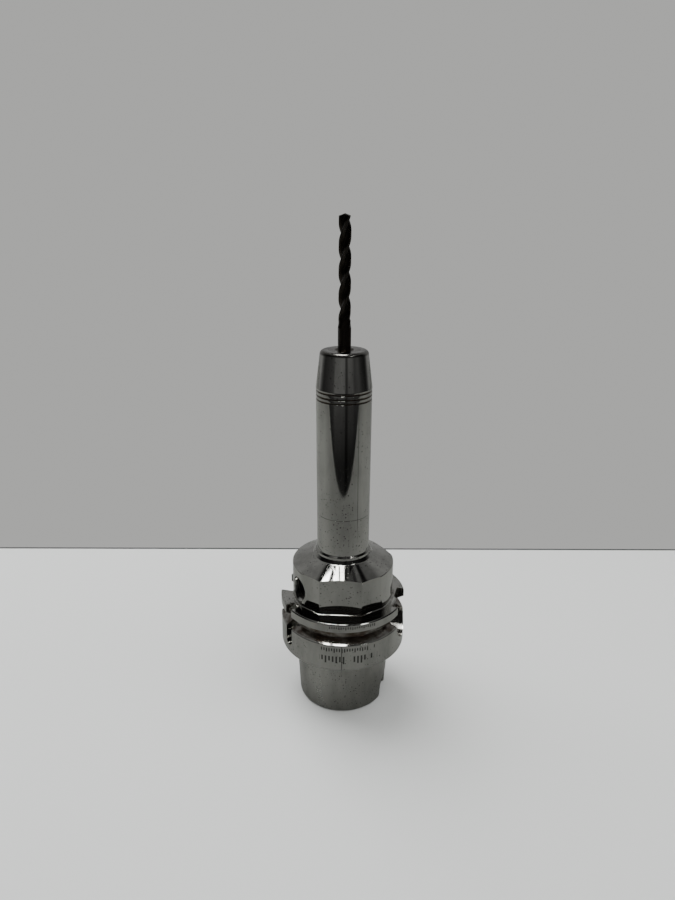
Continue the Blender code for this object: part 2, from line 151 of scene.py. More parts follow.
def heaped(tree, start, layers):
    """start plus each layer's mask times its height."""
    for mask, height in layers:
        start = node(tree, "Math", (mask, height, start), operation="MULTIPLY_ADD")
    return start


def painted(tree, shader, base, coats):
    """Give a shader's base colour coats of paint, each as thick as its mask. Colours are hex."""
    color = linear(base)
    for mask, paint in coats:
        color = node(tree, "Mix", {0: mask, 6: color, 7: linear(paint)}, data_type="RGBA")
    feed(tree, shader, {"Base Color": color})


def bearing(tree, x, y):
    """Angle about +Z in degrees, from the camera's side, which is -Y, towards +X."""
    toward = node(tree, "Math", (y, -1.0), operation="MULTIPLY")
    angle = node(tree, "Math", (x, toward), operation="ARCTAN2")
    return node(tree, "Math", (angle,), operation="DEGREES")


# %% [markdown]
# ## The camera, the floor and the light
#
# The camera stands a little left of the chuck, an arm's length away, and looks down at it by
# about twenty degrees. Polished steel has no colour of its own to speak of: it shows the room.
# So the light matters more here than any material.

# %% Camera
HEADING = math.radians(14.75)  # turn of the view about +Z from looking along +Y
PITCH = math.radians(19.62)  # downward tilt
ROLL = math.radians(0.17)
EYE = np.array([-2.94, -291.13, 237.79]) * MM
FOCAL_SHARE = 651.24 / 900  # focal length over the picture's long side
SENSOR = 36.0

turn = Matrix.Rotation(HEADING, 4, "Z")
camera_data = bpy.data.cameras.new("camera")
camera_data.sensor_width = SENSOR
camera_data.lens = FOCAL_SHARE * SENSOR
camera_data.clip_start = 0.01
camera = bpy.data.objects.new("camera", camera_data)
camera.matrix_world = (
    turn @ Matrix.Translation(EYE) @ Matrix.Rotation(math.pi / 2 - PITCH, 4, "X")
    @ Matrix.Rotation(ROLL, 4, "Z")
)
bpy.context.scene.collection.objects.link(camera)
bpy.context.scene.camera = camera
print("camera at", [round(v / MM, 1) for v in camera.matrix_world.translation])

# %% [markdown]
# The room is a world shader that reads only the direction of a ray. The camera and the matt
# floor see plain pale walls. Polished steel sees more: past the table's edge the room is dark on
# the camera's side, and overhead long panels hang in a dark ceiling. Directions are turned into
# azimuths about the chuck, and overhead into places on a flat ceiling one unit up.

# %% Directions in the room
WALL = 0.46  # brightness of the plain walls
ROOM = [  # azimuth from the camera's side, brightness in the mirror
    (-180, 0.33), (-120, 0.30), (-108, 0.12), (-94, 0.03), (-80, 0.04), (-58, 0.06), (-45, 0.08),
    (-38, 0.16), (-12, 0.17), (2, 0.15), (6, 0.05), (12, 0.05), (18, 0.13), (34, 0.12),
    (44, 0.07), (60, 0.09), (78, 0.04), (98, 0.02), (108, 0.06), (120, 0.26), (180, 0.33)]
CEILING = [  # place across the ceiling, brightness
    (-0.80, 0.29), (-0.42, 0.25), (-0.37, 0.13), (-0.345, 0.01), (-0.31, 0.02), (-0.29, 0.06),
    (-0.19, 0.015), (0.065, 0.09), (0.16, 0.09), (0.175, 0.03), (0.20, 0.04), (0.22, 0.16),
    (0.27, 0.16), (0.29, 0.008), (0.34, 0.008), (0.37, 0.12), (0.55, 0.14), (0.70, 0.24)]
PANELS = [
    # across from, to, how far away it reaches, its slant, brightness
    (-0.300, -0.208, 0.205, -0.45, 17.0),
    (-0.146, 0.058, 0.50, 0.0, 17.0),
]
PANEL_NEAR = -0.30  # where both end, on the camera's side
SMALL_LAMP = (0.55, 0.80, -0.78, -0.58, 7.0)  # across from, to, away from, to, brightness

world = bpy.data.worlds.new("studio")
bpy.context.scene.world = world
world.use_nodes = True
sky = world.node_tree
sky.nodes.clear()
aim = node(sky, "Mapping", {
    "Vector": node(sky, "TexCoord").outputs["Generated"],
    "Rotation": (0, 0, -HEADING)}, vector_type="POINT")
aim = node(sky, "SeparateXYZ", (aim,)).outputs
azimuth = bearing(sky, aim["X"], aim["Y"])
lift = node(sky, "Math", (aim["Z"], 0.05), operation="MAXIMUM")
across = node(sky, "Math", (aim["X"], lift), operation="DIVIDE")
away = node(sky, "Math", (aim["Y"], lift), operation="DIVIDE")


def brightness_ramp(tree, value, low, high, stops):
    """Grey ramp through (value, brightness) stops, for values between low and high."""
    share = node(tree, "MapRange", (value, low, high))
    ramp = node(tree, "ValToRGB", (share,))
    bar = ramp.color_ramp.elements
    for index, (at, level) in enumerate(stops):
        stop = bar[index] if index < 2 else bar.new(1.0)
        stop.position = (at - low) / (high - low)
        stop.color = (level, level, level, 1.0)
    return ramp


# %% Walls in the mirror
walls = brightness_ramp(sky, azimuth, -180, 180, ROOM)
front = window(sky, azimuth, -100.8, 100.8, 10.8)
low_shade = node(sky, "MapRange", (aim["Z"], -0.36, -0.16, 0.12))
high_shade = node(sky, "MapRange", (aim["Z"], 0.2, 0.4, 1.0, 0.2))
shade = node(sky, "Mix", {0: front, 2: 1.0, 3: overlap(sky, low_shade, high_shade)})
walls = node(sky, "VectorMath", (walls, shade), operation="MULTIPLY")

# %% Ceiling and its panels in the mirror
ceiling = brightness_ramp(sky, across, -1, 1, CEILING)
lit_near = node(sky, "Math", (away, PANEL_NEAR), operation="GREATER_THAN")
for low, high, far, slant, level in PANELS:
    far_end = node(sky, "Math", (across, slant, far), operation="MULTIPLY_ADD")
    lit_far = node(sky, "Math", (away, far_end), operation="LESS_THAN")
    panel = overlap(sky, window(sky, across, low, high, 0.008), lit_near, lit_far, level)
    ceiling = node(sky, "VectorMath", (ceiling, panel))
flat_aim = node(sky, "CombineXYZ", (across, away))
spread = node(sky, "VectorMath", (flat_aim,), operation="LENGTH")
overhead = node(sky, "MapRange", (spread, 1.1, 0.75))
mirror = node(sky, "Mix", {0: overhead, 6: walls, 7: ceiling}, data_type="RGBA")
low, high, near_end, far_end, level = SMALL_LAMP
small_lamp = overlap(sky, window(sky, across, low, high, 0.02),
                     window(sky, away, near_end, far_end, 0.02), level)
mirror = node(sky, "VectorMath", (mirror, small_lamp))
print(len(ROOM), "stops round the walls,", len(PANELS), "panels overhead")

# %% Plain walls for everything else
path = node(sky, "LightPath").outputs
shown = node(sky, "Mix", {
    0: path["Is Glossy Ray"], 6: (WALL, WALL, WALL * 0.975, 1), 7: mirror}, data_type="RGBA")
light = node(sky, "Background", {"Color": shown, "Strength": 1.0})
node(sky, "OutputWorld", {"Surface": light})
print("room with", len(sky.nodes), "nodes")

# %% [markdown]
# Two wide, soft area lights shine from above. Polished steel doesn't show them, because the
# panels of the room above stand for them there.

# %% Area lights
LIGHTS = [
    # name, place (x, y, z) in metres, size in metres, watts
    ("soft_main", (-0.40, 0.35, 1.00), 0.8, 16.0),
    ("soft_fill", (0.50, -0.30, 0.90), 0.9, 6.5),
]
for name, (x, y, z), width, watts in LIGHTS:
    lamp = bpy.data.lights.new(name, "AREA")
    lamp.shape = "SQUARE"
    lamp.size, lamp.energy = width, watts
    box = bpy.data.objects.new(name, lamp)
    box.matrix_world = turn @ Matrix.Translation((x, y, z)) @ Vector(
        (x, y, z)).to_track_quat("Z", "Y").to_matrix().to_4x4()
    box.visible_glossy = False
    bpy.context.scene.collection.objects.link(box)
    print(name, watts, "W")

# %% [markdown]
# The floor is a plain pale board. It ends in a straight edge a little behind the chuck, with the
# wall beyond, and fades out towards the other sides. The steel mirrors a table instead: the same
# board, painted darker as painted shade, with a painted shadow that deepens towards the camera,
# and it ends before it reaches the camera. That edge is what draws the dark wedge down the
# polished neck, and a thin dark line on the table draws the line beside it.

# %% Floor
FLOOR_RADIUS = 0.80  # metres, where the board has faded out
FLOOR_SOLID = 0.30  # metres, up to which it is solid
FLOOR_BACK = 0.1525  # metres behind the chuck's axis
TABLE_FRONT = 0.2716  # metres before the axis, where the mirrored table ends
TABLE_LINE = 62.5  # degrees from the camera's side
BACK_LINE_WIDTH = 0.0022  # metres, width of the dark strip along the back
BOARD = "#d0d2d1"
BOARD_BACK_LINE = "#3a3b3c"
# painted shade: the mirrored copy of the board is darker than the board
TABLE = "#777876"


def board_material(name, color):
    """Matt pale board, clear from below. Also gives what its patterns start from: the mask of
    its upper face, the distance from the chuck, and the place in the camera's frame."""
    mat, tree, shader = new_material(name, color, 0.75, metallic=0.0)
    back = node(tree, "NewGeometry").outputs["Backfacing"]
    upper = node(tree, "Math", (1.0, back), operation="SUBTRACT")
    feed(tree, shader, {"Alpha": upper})
    spot = node(tree, "TexCoord").outputs["Object"]
    spot = node(tree, "Mapping", {"Vector": spot, "Rotation": (0, 0, -HEADING)})
    far = node(tree, "VectorMath", (spot,), operation="LENGTH")
    return mat, tree, shader, upper, far, node(tree, "SeparateXYZ", (spot,)).outputs


def floor_board():
    """The board as the camera sees it: solid near the chuck, faded out far from it, with a
    dark line along its back edge."""
    mat, tree, shader, upper, far, part = board_material("pale_board", BOARD)
    rim = node(tree, "MapRange", (far, FLOOR_SOLID, FLOOR_RADIUS, 1.0, 0.0),
               interpolation_type="SMOOTHSTEP")
    feed(tree, shader, {"Alpha": overlap(tree, upper, rim)})
    back_line = window(tree, part["Y"], FLOOR_BACK - BACK_LINE_WIDTH, FLOOR_BACK + 1, 0.0004)
    painted(tree, shader, BOARD, [(back_line, BOARD_BACK_LINE)])
    return mat


def mirrored_board():
    """The table as the steel mirrors it: the board painted darker as painted shade, and darker
    still towards the camera as a painted shadow, with one thin dark line that runs away from
    the chuck."""
    mat, tree, shader, _, far, part = board_material("dim_board", TABLE)
    angle = bearing(tree, part["X"], part["Y"])
    # a thin dark line on the table, running away from the chuck
    dark_line = overlap(tree, window(tree, angle, TABLE_LINE - 1.3, TABLE_LINE + 1.3, 0.8),
                   window(tree, far, 0.20, 2.0, 0.04), 0.88)
    # painted shadow: the table darkens towards the camera
    shade = node(tree, "MapRange", (part["Y"], -0.20, -0.02, 0.34, 0.07))
    painted(tree, shader, TABLE, [(shade, "#000000"), (dark_line, "#000000")])
    return mat


def flat_piece(name, half, near, far, height, mat):
    """A level rectangle in the camera's frame, 2 half wide, from near to far of the axis."""
    corners = [(-half, near), (half, near), (half, far), (-half, far)]
    mesh = bpy.data.meshes.new(name)
    mesh.from_pydata([tuple(turn @ Vector((*corner, height))) for corner in corners], [],
                     [(0, 1, 2, 3)])
    mesh.materials.append(mat)
    obj = bpy.data.objects.new(name, mesh)
    bpy.context.scene.collection.objects.link(obj)
    return obj


floor = flat_piece("floor", FLOOR_RADIUS, -FLOOR_RADIUS, FLOOR_BACK, 0, floor_board())
floor.visible_glossy = False
table = flat_piece("table_in_mirror", 1, -TABLE_FRONT, 1, 0.05 * MM, mirrored_board())
table.visible_camera = False
table.visible_diffuse = False
table.visible_shadow = False
print("floor ends", FLOOR_BACK / MM, "mm behind the axis")

# %% [markdown]
# ## Surfaces from grids
#
# Nearly every piece of a chuck comes off a lathe. Its surface is an outline of corners, each
# with its own small rounding, carried once around an axis. The outline and the angles are two
# arrays, and their product is the whole surface. A lathe piece that lies on its side gets the
# same treatment, followed by one matrix.

# %% Surface helpers


def rounded(corners, steps=5):
    """Outline through corners (radius, height, rounding). Each corner becomes an arc tangent to
    both of its sides: it starts and ends a length rounding / tan(half the angle) from the corner.
    Corners with no rounding stay single points."""
    table = np.array([(*corner, 0.0)[:3] for corner in corners], float)
    point, rounding = table[:, :2], table[:, 2]
    back, ahead = np.roll(point, 1, 0) - point, np.roll(point, -1, 0) - point
    back_length = np.linalg.norm(back, axis=1)
    ahead_length = np.linalg.norm(ahead, axis=1)
    back, ahead = back / back_length[:, None], ahead / ahead_length[:, None]
    half = np.arccos(np.clip((back * ahead).sum(1), -1, 1)) / 2
    cut = np.minimum(rounding / np.tan(half), 0.45 * np.minimum(back_length, ahead_length))
    radius = cut * np.tan(half)
    middle = back + ahead
    middle /= np.maximum(np.linalg.norm(middle, axis=1), 1e-12)[:, None]
    centre = point + middle * (radius / np.sin(half))[:, None]
    first = point + back * cut[:, None] - centre
    last = point + ahead * cut[:, None] - centre
    sweep = (np.pi - 2 * half)[:, None]
    share = np.linspace(0, 1, steps)[None, :]
    spread = np.maximum(np.sin(sweep), 1e-9)
    start, stop = np.sin((1 - share) * sweep) / spread, np.sin(share * sweep) / spread
    arc = centre[:, None] + first[:, None] * start[..., None] + last[:, None] * stop[..., None]
    arc[rounding <= 0] = point[rounding <= 0][:, None]
    arc = arc.reshape(-1, 2)
    moved = np.linalg.norm(arc - np.roll(arc, 1, 0), axis=1) > 1e-6
    return arc[moved]


def make_object(name, vertices, faces, mat, weld=False):
    """Put vertices (in metres) and faces into a closed, outward-facing object."""
    mesh = bpy.data.meshes.new(name)
    mesh.from_pydata(np.asarray(vertices).tolist(), [], [list(map(int, face)) for face in faces])
    shell = bmesh.new()
    shell.from_mesh(mesh)
    if weld:
        bmesh.ops.remove_doubles(shell, verts=shell.verts, dist=1e-7)
        bmesh.ops.dissolve_degenerate(shell, edges=shell.edges, dist=1e-8)
    bmesh.ops.recalc_face_normals(shell, faces=shell.faces)
    shell.to_mesh(mesh)
    shell.free()
    mesh.materials.append(mat)
    obj = bpy.data.objects.new(name, mesh)
    bpy.context.scene.collection.objects.link(obj)
    return obj


def grid_faces(rows, columns, wrap_rows, wrap_columns):
    """Corner numbers of the quads between neighbours of a rows by columns grid."""
    i = np.arange(rows if wrap_rows else rows - 1)[:, None]
    j = np.arange(columns if wrap_columns else columns - 1)[None, :]
    up, along = (i + 1) % rows, (j + 1) % columns
    quads = (i * columns + j, i * columns + along, up * columns + along, up * columns + j)
    return np.stack(np.broadcast_arrays(*quads), -1).reshape(-1, 4)


def place(points, matrix):
    """Carry points (in millimetres) through a 4 by 4 matrix and into metres."""
    moved = points @ matrix[:3, :3].T + matrix[:3, 3]
    return moved * MM


UPRIGHT = np.eye(4)


def turned(name, corners, mat, steps=128, matrix=UPRIGHT, arc=5):
    """Lathe surface: the rounded outline (r, z) carried round by angle t to
    (r cos t, r sin t, z). An outline that starts and ends on the axis closes there."""
    outline = rounded(corners, arc)
    solid = corners[0][0] == 0 and corners[-1][0] == 0
    angle = np.linspace(0, 2 * np.pi, steps, endpoint=False)
    radius, height = outline[:, :1], outline[:, 1:]
    points = np.stack([radius * np.cos(angle), radius * np.sin(angle),
                       height + 0 * angle], -1).reshape(-1, 3)
    faces = grid_faces(len(outline), steps, not solid, True)
    return make_object(name, place(points, matrix), faces, mat, weld=solid)


def prism(name, outline, low, high, mat, matrix=UPRIGHT):
    """Straight-sided solid: an (x, y) outline at height low, joined to the same at high."""
    outline = np.asarray(outline, float)
    count = len(outline)
    bottom = np.column_stack([outline, np.full(count, low)])
    top = np.column_stack([outline, np.full(count, high)])
    faces = grid_faces(2, count, False, True).tolist()
    faces += [list(range(count))[::-1], list(range(count, 2 * count))]
    return make_object(name, place(np.vstack([bottom, top]), matrix), faces, mat)


def hexagon(across_flats):
    """Corners of a hexagon with the given distance between opposite sides."""
    angle = np.arange(6) * np.pi / 3
    radius = across_flats / math.sqrt(3)
    return np.stack([radius * np.cos(angle), radius * np.sin(angle)], 1)


def mill(blank, cutters):
    """Subtract the cutters from the blank, keep the result as plain mesh, drop the cutters."""
    for cutter in cutters:
        step = blank.modifiers.new(cutter.name, "BOOLEAN")
        step.operation, step.solver, step.object = "DIFFERENCE", "EXACT", cutter
    graph = bpy.context.evaluated_depsgraph_get()
    graph.update()
    cut = bpy.data.meshes.new_from_object(blank.evaluated_get(graph))
    blank.modifiers.clear()
    blank.data = cut
    for cutter in cutters:
        bpy.data.objects.remove(cutter)
    return blank


def show(piece, body, angle=32.0):
    """Shade a piece smoothly up to corners of an angle, with normals led by its large faces. Let
    it ride on its body and stand for the CAD node it is named after, which is hidden."""
    piece.data.shade_smooth()
    piece.data.set_sharp_from_angle(angle=math.radians(angle))
    even = piece.modifiers.new("even_normals", "WEIGHTED_NORMAL")
    even.keep_sharp = True
    even.weight = 100
    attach(piece, body)
    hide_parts(piece.name.removesuffix("_fine"))
    print(piece.name, len(piece.data.polygons), "faces")


def show_turned(name, body, corners, mat, steps, matrix=UPRIGHT, angle=32.0):
    """A piece that is finished when it comes off the lathe."""
    show(turned(name + "_fine", corners, mat, steps, matrix), body, angle)


# %% [markdown]
# ## Steel and its finishes
#
# The chuck is tool steel throughout, hardened and ground. What the eye sees is how each surface
# was finished: the flange, the body and the neck are polished, and the taper below is ground,
# which leaves very fine lines round the axis. Years in the machine add small dark pits, smears
# of dried coolant and a brown bloom in the corners where nobody wipes. Dark and brown coats in
# the recesses are also painted shade. All the patterns are computed from the surface's own
# position, so they stay on the steel from every side.

# %% Coordinates for patterns on a turned surface


def turned_coordinates(tree):
    """Sockets for a surface turned about Z: position, and radius and height in millimetres,
    and the angle about the axis in degrees, from -180 to 180."""
    position = node(tree, "TexCoord").outputs["Object"]
    part = node(tree, "SeparateXYZ", (position,)).outputs
    flat = node(tree, "CombineXYZ", (part["X"], part["Y"]))
    radius = node(tree, "VectorMath", (flat,), operation="LENGTH")
    radius = node(tree, "Math", (radius, 1000.0), operation="MULTIPLY")
    height = node(tree, "Math", (part["Z"], 1000.0), operation="MULTIPLY")
    angle = node(tree, "Math", (part["Y"], part["X"]), operation="ARCTAN2")
    angle = node(tree, "Math", (angle,), operation="DEGREES")
    return position, radius, height, angle


def per_mm(size):
    """Scale of a noise in metres whose blobs are about size millimetres across."""
    return 500 / size


# %% [markdown]
# Fine grooves left by a wheel or a polishing cloth run round the axis. In numbers they are a
# noise that changes quickly with height and radius and hardly at all with angle. The real
# grooves are a few thousandths of a millimetre apart, far too fine to see one by one, so they
# are drawn a few tenths apart and very shallow. Wiping leaves the opposite: smears that run
# along the neck. Rust pits are small round spots in loose clusters.

# %% Lay lines, smears and pits


def lay_lines(tree, radius, height, angle, pitch):
    """Noise stretched round the axis, with lines about pitch millimetres apart."""
    scaled = [node(tree, "Math", (value, step), operation="DIVIDE")
              for value, step in ((radius, pitch), (height, pitch), (angle, 40.0))]
    along = node(tree, "CombineXYZ", scaled)
    return node(tree, "TexNoise", {"Vector": along, "Scale": 1.0, "Detail": 2.0})


def blotches(tree, size, detail=3.0, fine=0.5):
    """Blotchy noise fixed to the piece, with blobs about size millimetres across. fine is the
    strength of its small detail."""
    position = node(tree, "TexCoord").outputs["Object"]
    return node(tree, "TexNoise", {
        "Vector": position, "Scale": per_mm(size), "Detail": detail, "Roughness": fine})


def wiped_smears(tree, position, size):
    """Blotchy noise, size millimetres across and three times as long up the chuck."""
    drawn_out = node(tree, "Mapping", {"Vector": position, "Scale": (1, 1, 0.33)})
    return node(tree, "TexNoise", {
        "Vector": drawn_out, "Scale": per_mm(size), "Detail": 4.0, "Roughness": 0.62})


def pits(tree, position, size, crowd):
    """Small round dark pits, size millimetres across, in loose clusters: 1 inside a pit. crowd
    is the share of cells, four pits wide, that may hold one."""
    cells = node(tree, "TexVoronoi", {"Vector": position, "Scale": 1000 / (size * 4)})
    centre = window(tree, cells.outputs["Distance"], -1.0, 0.165, 0.07)
    chosen = node(tree, "SeparateColor", (cells.outputs["Color"],))
    cluster = blotches(tree, 8.0, 2.0)
    limit = node(tree, "MapRange", (cluster, 0.38, 0.62, 0.0, crowd))
    chosen = node(tree, "Math", (chosen, limit), operation="LESS_THAN")
    return overlap(tree, centre, chosen)


# %% [markdown]
# The flange carries etched marks: one index line at the front and rows of fine ticks beside it,
# as on a scale. An angle becomes a length along the rim when it is multiplied by the radius.

# %% Etched marks of the flange
INDEX_AZIMUTH = -76.5
RULERS = [
    # middle azimuth, half length, lowest and highest z, tick spacing, all but the first in mm
    (-71.0, 13.6, 42.4, 44.9, 1.25),
    (-70.0, 14.6, 36.0, 40.4, 1.75),
    (-66.5, 11.6, 55.2, 57.0, 1.10),
]
RIM_MM = math.pi / 180 * FLANGE_RADIUS  # rim length of one degree


def etched(tree, height, angle):
    """1 on the etched lines of the flange's rim."""
    arc = node(tree, "Math", (angle, RIM_MM), operation="MULTIPLY")
    middle = INDEX_AZIMUTH * RIM_MM
    marks = overlap(tree, window(tree, arc, middle - 0.17, middle + 0.17, 0.1),
                    window(tree, height, 32.8, 46.0, 0.2))
    for azimuth, half, low, high, pitch in RULERS:
        middle = azimuth * RIM_MM
        steps = node(tree, "Math", (arc, pitch), operation="DIVIDE")
        share = node(tree, "Math", (steps,), operation="FRACT")
        count = node(tree, "Math", (steps,), operation="FLOOR")
        drawn = node(tree, "TexWhiteNoise", {"W": count}, noise_dimensions="1D")
        chosen = node(tree, "Math", (drawn, 0.05), operation="GREATER_THAN")
        foot = node(tree, "Math", (drawn, (high - low) * 0.45, low), operation="MULTIPLY_ADD")
        long_enough = node(tree, "Math", (height, foot), operation="GREATER_THAN")
        tick = overlap(tree, window(tree, share, 0.27, 0.73, 0.16), chosen, long_enough,
                       window(tree, height, low, high, 0.25),
                       window(tree, arc, middle - half, middle + half, 0.1))
        marks = either(tree, marks, tick)
    return marks


# %% [markdown]
# The base carries several finishes on one surface, told apart by height and radius: ground
# taper, polished rim, milled slots darkened with painted shade, the gripper groove with its brown
# bloom laid thick as painted shade, and the screw bore, blackened as painted shade. Each is a
# window on one or two of the numbers above.

# %% Where each finish lies
SCREW_AZIMUTH = 224.5
SCREW_Z = 66.0
ZONES = {
    # name: (height from, to, edge), (radius from, to, edge)
    "taper": ((-5.0, 31.6, 0.2), (0.0, 40.0, 0.2)),
    "groove": ((46.6, 53.4, 0.5), (20.0, 31.2, 0.5)),
    "foot": ((57.0, 58.6, 0.3), (21.0, 26.4, 0.6)),
    "slots": ((36.0, 57.7, 0.4), (23.0, 31.2, 0.3)),
    "ribs": ((159.2, 164.4, 0.2), (12.0, 12.88, 0.06)),
    "nose_face": ((180.4, 190.0, 0.6), (0.0, 20.0, 0.2)),
}


def zone(tree, radius, height, name):
    """1 inside one of the zones, by its height and radius."""
    (low, high, soft), (inner, outer, fade) = ZONES[name]
    return overlap(tree, window(tree, height, low, high, soft),
                   window(tree, radius, inner, outer, fade))


def screw_bore_zone(tree, position, radius):
    """1 inside the clamping screw's bore: closer to the bore's axis than its own radius, and
    below the skin of the body. The mapping turns the bore's axis onto X."""
    turned_back = node(tree, "Mapping", {
        "Vector": position, "Location": (0, 0, -SCREW_Z * MM),
        "Rotation": (0, 0, -math.radians(SCREW_AZIMUTH))})
    part = node(tree, "SeparateXYZ", (turned_back,)).outputs
    off_axis = node(tree, "CombineXYZ", (part["Y"], part["Z"]))
    off_axis = node(tree, "VectorMath", (off_axis,), operation="LENGTH")
    inside = node(tree, "Math", (off_axis, 7.6 * MM), operation="LESS_THAN")
    ahead = node(tree, "Math", (part["X"], 0.0), operation="GREATER_THAN")
    return overlap(tree, inside, ahead, window(tree, radius, -1.0, 24.2, 0.5))


# %% Polished tool steel
STEEL = "#b9b9b4"
STEEL_SHADE = "#989894"
# brown coat: real bloom, and painted shade in the gripper groove and the neck's ribs
STAIN_AND_SHADE = "#463626"
# dark coat: dirt, and painted shade in the recesses
GRIME_AND_SHADE = "#3a3632"
PIT = "#15120f"
ETCH = "#262524"
SLOT_HALF = 9.1  # mm, half the width of the wider drive slot, and a little


def polished_tool_steel():
    """Hardened tool steel, cylindrically ground, then polished above the contact face. It
    mirrors the room with a slight blur that varies where it has been wiped and handled."""
    mat, tree, shader = new_material("polished_tool_steel", STEEL, 0.1)
    position, radius, height, angle = turned_coordinates(tree)
    lines = lay_lines(tree, radius, height, angle, 0.35)
    smear = wiped_smears(tree, position, 5.0)
    grime = blotches(tree, 3.0, 3.0, 0.6)
    places = {name: zone(tree, radius, height, name) for name in ZONES}
    bore = screw_bore_zone(tree, position, radius)
    part = node(tree, "SeparateXYZ", (position,)).outputs
    slots = overlap(tree, places["slots"],
                    window(tree, part["Y"], -SLOT_HALF * MM, SLOT_HALF * MM, 0.1 * MM))
    # Brown coat: real bloom in patches at the body's foot; in the gripper groove it is laid
    # thick, as painted shade too, and the neck's ribs get it evenly as painted shade.
    bloom_and_shade = node(tree, "MapRange", (grime, 0.50, 0.74, 0.0, 0.75))
    brown_and_shade = node(tree, "MapRange", (grime, 0.36, 0.62, 0.3, 0.9))
    bloom_and_shade = either(tree, overlap(tree, bloom_and_shade, places["foot"]),
                   overlap(tree, brown_and_shade, places["groove"]), overlap(tree, places["ribs"], 0.8))
    # Dark coat: dirt on the nose face; painted shade that dims the nose shoulder's highlight,
    # blackens the screw bore and darkens the milled slots.
    soot_and_shade = node(tree, "MapRange", (grime, 0.3, 0.7, 0.45, 0.9))
    soot_and_shade = either(tree, overlap(tree, soot_and_shade, places["nose_face"]), overlap(tree, bore, 0.9),
                  overlap(tree, slots, 0.6))
    speck = either(tree, pits(tree, position, 0.42, 0.95), pits(tree, position, 0.26, 0.8))
    rim = window(tree, radius, FLANGE_RADIUS - 0.1, FLANGE_RADIUS + 0.1, 0.05)
    marks = overlap(tree, etched(tree, height, angle), rim)
    wear_and_sheen = node(tree, "MapRange", (smear, 0.4, 0.75))
    painted(tree, shader, STEEL, [
        (wear_and_sheen, STEEL_SHADE), (bloom_and_shade, STAIN_AND_SHADE), (soot_and_shade, GRIME_AND_SHADE), (overlap(tree, marks, 0.85), ETCH),
        (overlap(tree, speck, 0.85), PIT)])
    rough = node(tree, "MapRange", (smear, 0.3, 0.7, 0.035, 0.075))
    rough = heaped(tree, rough, [
        (places["taper"], 0.22), (bloom_and_shade, 0.12), (soot_and_shade, 0.2), (lines, 0.02)])
    depth = node(tree, "MapRange", (places["taper"], 0.0, 1.0, 0.10, 0.5))
    relief = heaped(tree, overlap(tree, lines, depth), [(speck, -2.0), (marks, -1.0)])
    bump = node(tree, "Bump", {"Height": relief, "Strength": 0.25, "Distance": 0.02 * MM})
    feed(tree, shader, {"Roughness": rough, "Normal": bump})
    return mat


POLISHED = polished_tool_steel()
print("material", POLISHED.name, "with", len(POLISHED.node_tree.nodes), "nodes")

# %% [markdown]
# ## The small finishes
#
# The other finishes are simpler. Each is one function with the real surface in its docstring:
# ground steel for the sleeve and the coolant tube, black oxide for the screws, bright bearing
# steel for the balls and the piston, and the plastics.

# %% Small finishes


def ground_steel():
    """Ground sleeve steel: a soft sheen with fine lines round the axis and brown specks."""
    mat, tree, shader = new_material("ground_steel", "#8e8d89", 0.3)
    _, radius, height, angle = turned_coordinates(tree)
    lines = lay_lines(tree, radius, height, angle, 0.22)
    dirt = blotches(tree, 1.2, 3.0, 0.6)
    end_face = window(tree, height, NOSE_Z - 2.0, NOSE_Z + 5.0, 0.5)
    share = node(tree, "MapRange", (dirt, 0.45, 0.7, 0.0, 0.8))
    share = node(tree, "Math", (end_face, 0.4, share), operation="MULTIPLY_ADD", use_clamp=True)
    painted(tree, shader, "#8e8d89", [(share, "#3d352c")])
    rough = node(tree, "MapRange", (lines, 0.0, 1.0, 0.16, 0.32))
    bump = node(tree, "Bump", {"Height": lines, "Strength": 0.3, "Distance": 0.02 * MM})
    feed(tree, shader, {"Roughness": rough, "Normal": bump})
    return mat


def black_oxide_steel():
    """Hardened screw steel, blackened in a hot salt bath: nearly black, with a dull gloss and
    brighter steel rubbed through on the edges."""
    mat, tree, shader = new_material("black_oxide_steel", "#26262a", 0.4)
    rub = blotches(tree, 0.8)
    share = node(tree, "MapRange", (rub, 0.55, 0.75, 0.0, 0.5))
    painted(tree, shader, "#26262a", [(share, "#57565a")])
    rough = node(tree, "MapRange", (rub, 0.0, 1.0, 0.34, 0.5))
    feed(tree, shader, {"Roughness": rough})
    return mat


def bright_bearing_steel():
    """Lapped ball and piston steel: the brightest finish on the chuck."""
    mat, tree, shader = new_material("bright_bearing_steel", "#b9b9b8", 0.12)
    handled = blotches(tree, 1.5, 2.0)
    rough = node(tree, "MapRange", (handled, 0.0, 1.0, 0.08, 0.2))
    feed(tree, shader, {"Roughness": rough})
    return mat


def plastic(name, color, light, rough, size):
    """Moulded or cut plastic or rubber: one colour, a little lighter in patches."""
    mat, tree, shader = new_material(name, color, rough, metallic=0.0)
    patch = blotches(tree, size)
    painted(tree, shader, color, [(patch, light)])
    bump = node(tree, "Bump", {"Height": patch, "Strength": 0.2, "Distance": 0.03 * MM})
    feed(tree, shader, {"Normal": bump})
    return mat


GROUND = ground_steel()
BLACK = black_oxide_steel()
BRIGHT = bright_bearing_steel()
RUBBER = plastic("nitrile_rubber", "#141414", "#242424", 0.55, 0.7)
WHITE = plastic("ptfe_sheet", "#d9d8d0", "#e6e5df", 0.45, 0.9)
CHIP = plastic("potted_chip_plastic", "#1b1b1e", "#29292c", 0.4, 0.5)

# %% [markdown]
# The drill is solid carbide under a dark hard coating, which is almost black with a faint
# warmth. The coating is smooth in the flutes, and the lands between them are painted lighter, a
# painted sheen for the light they catch.

# %% Coated carbide


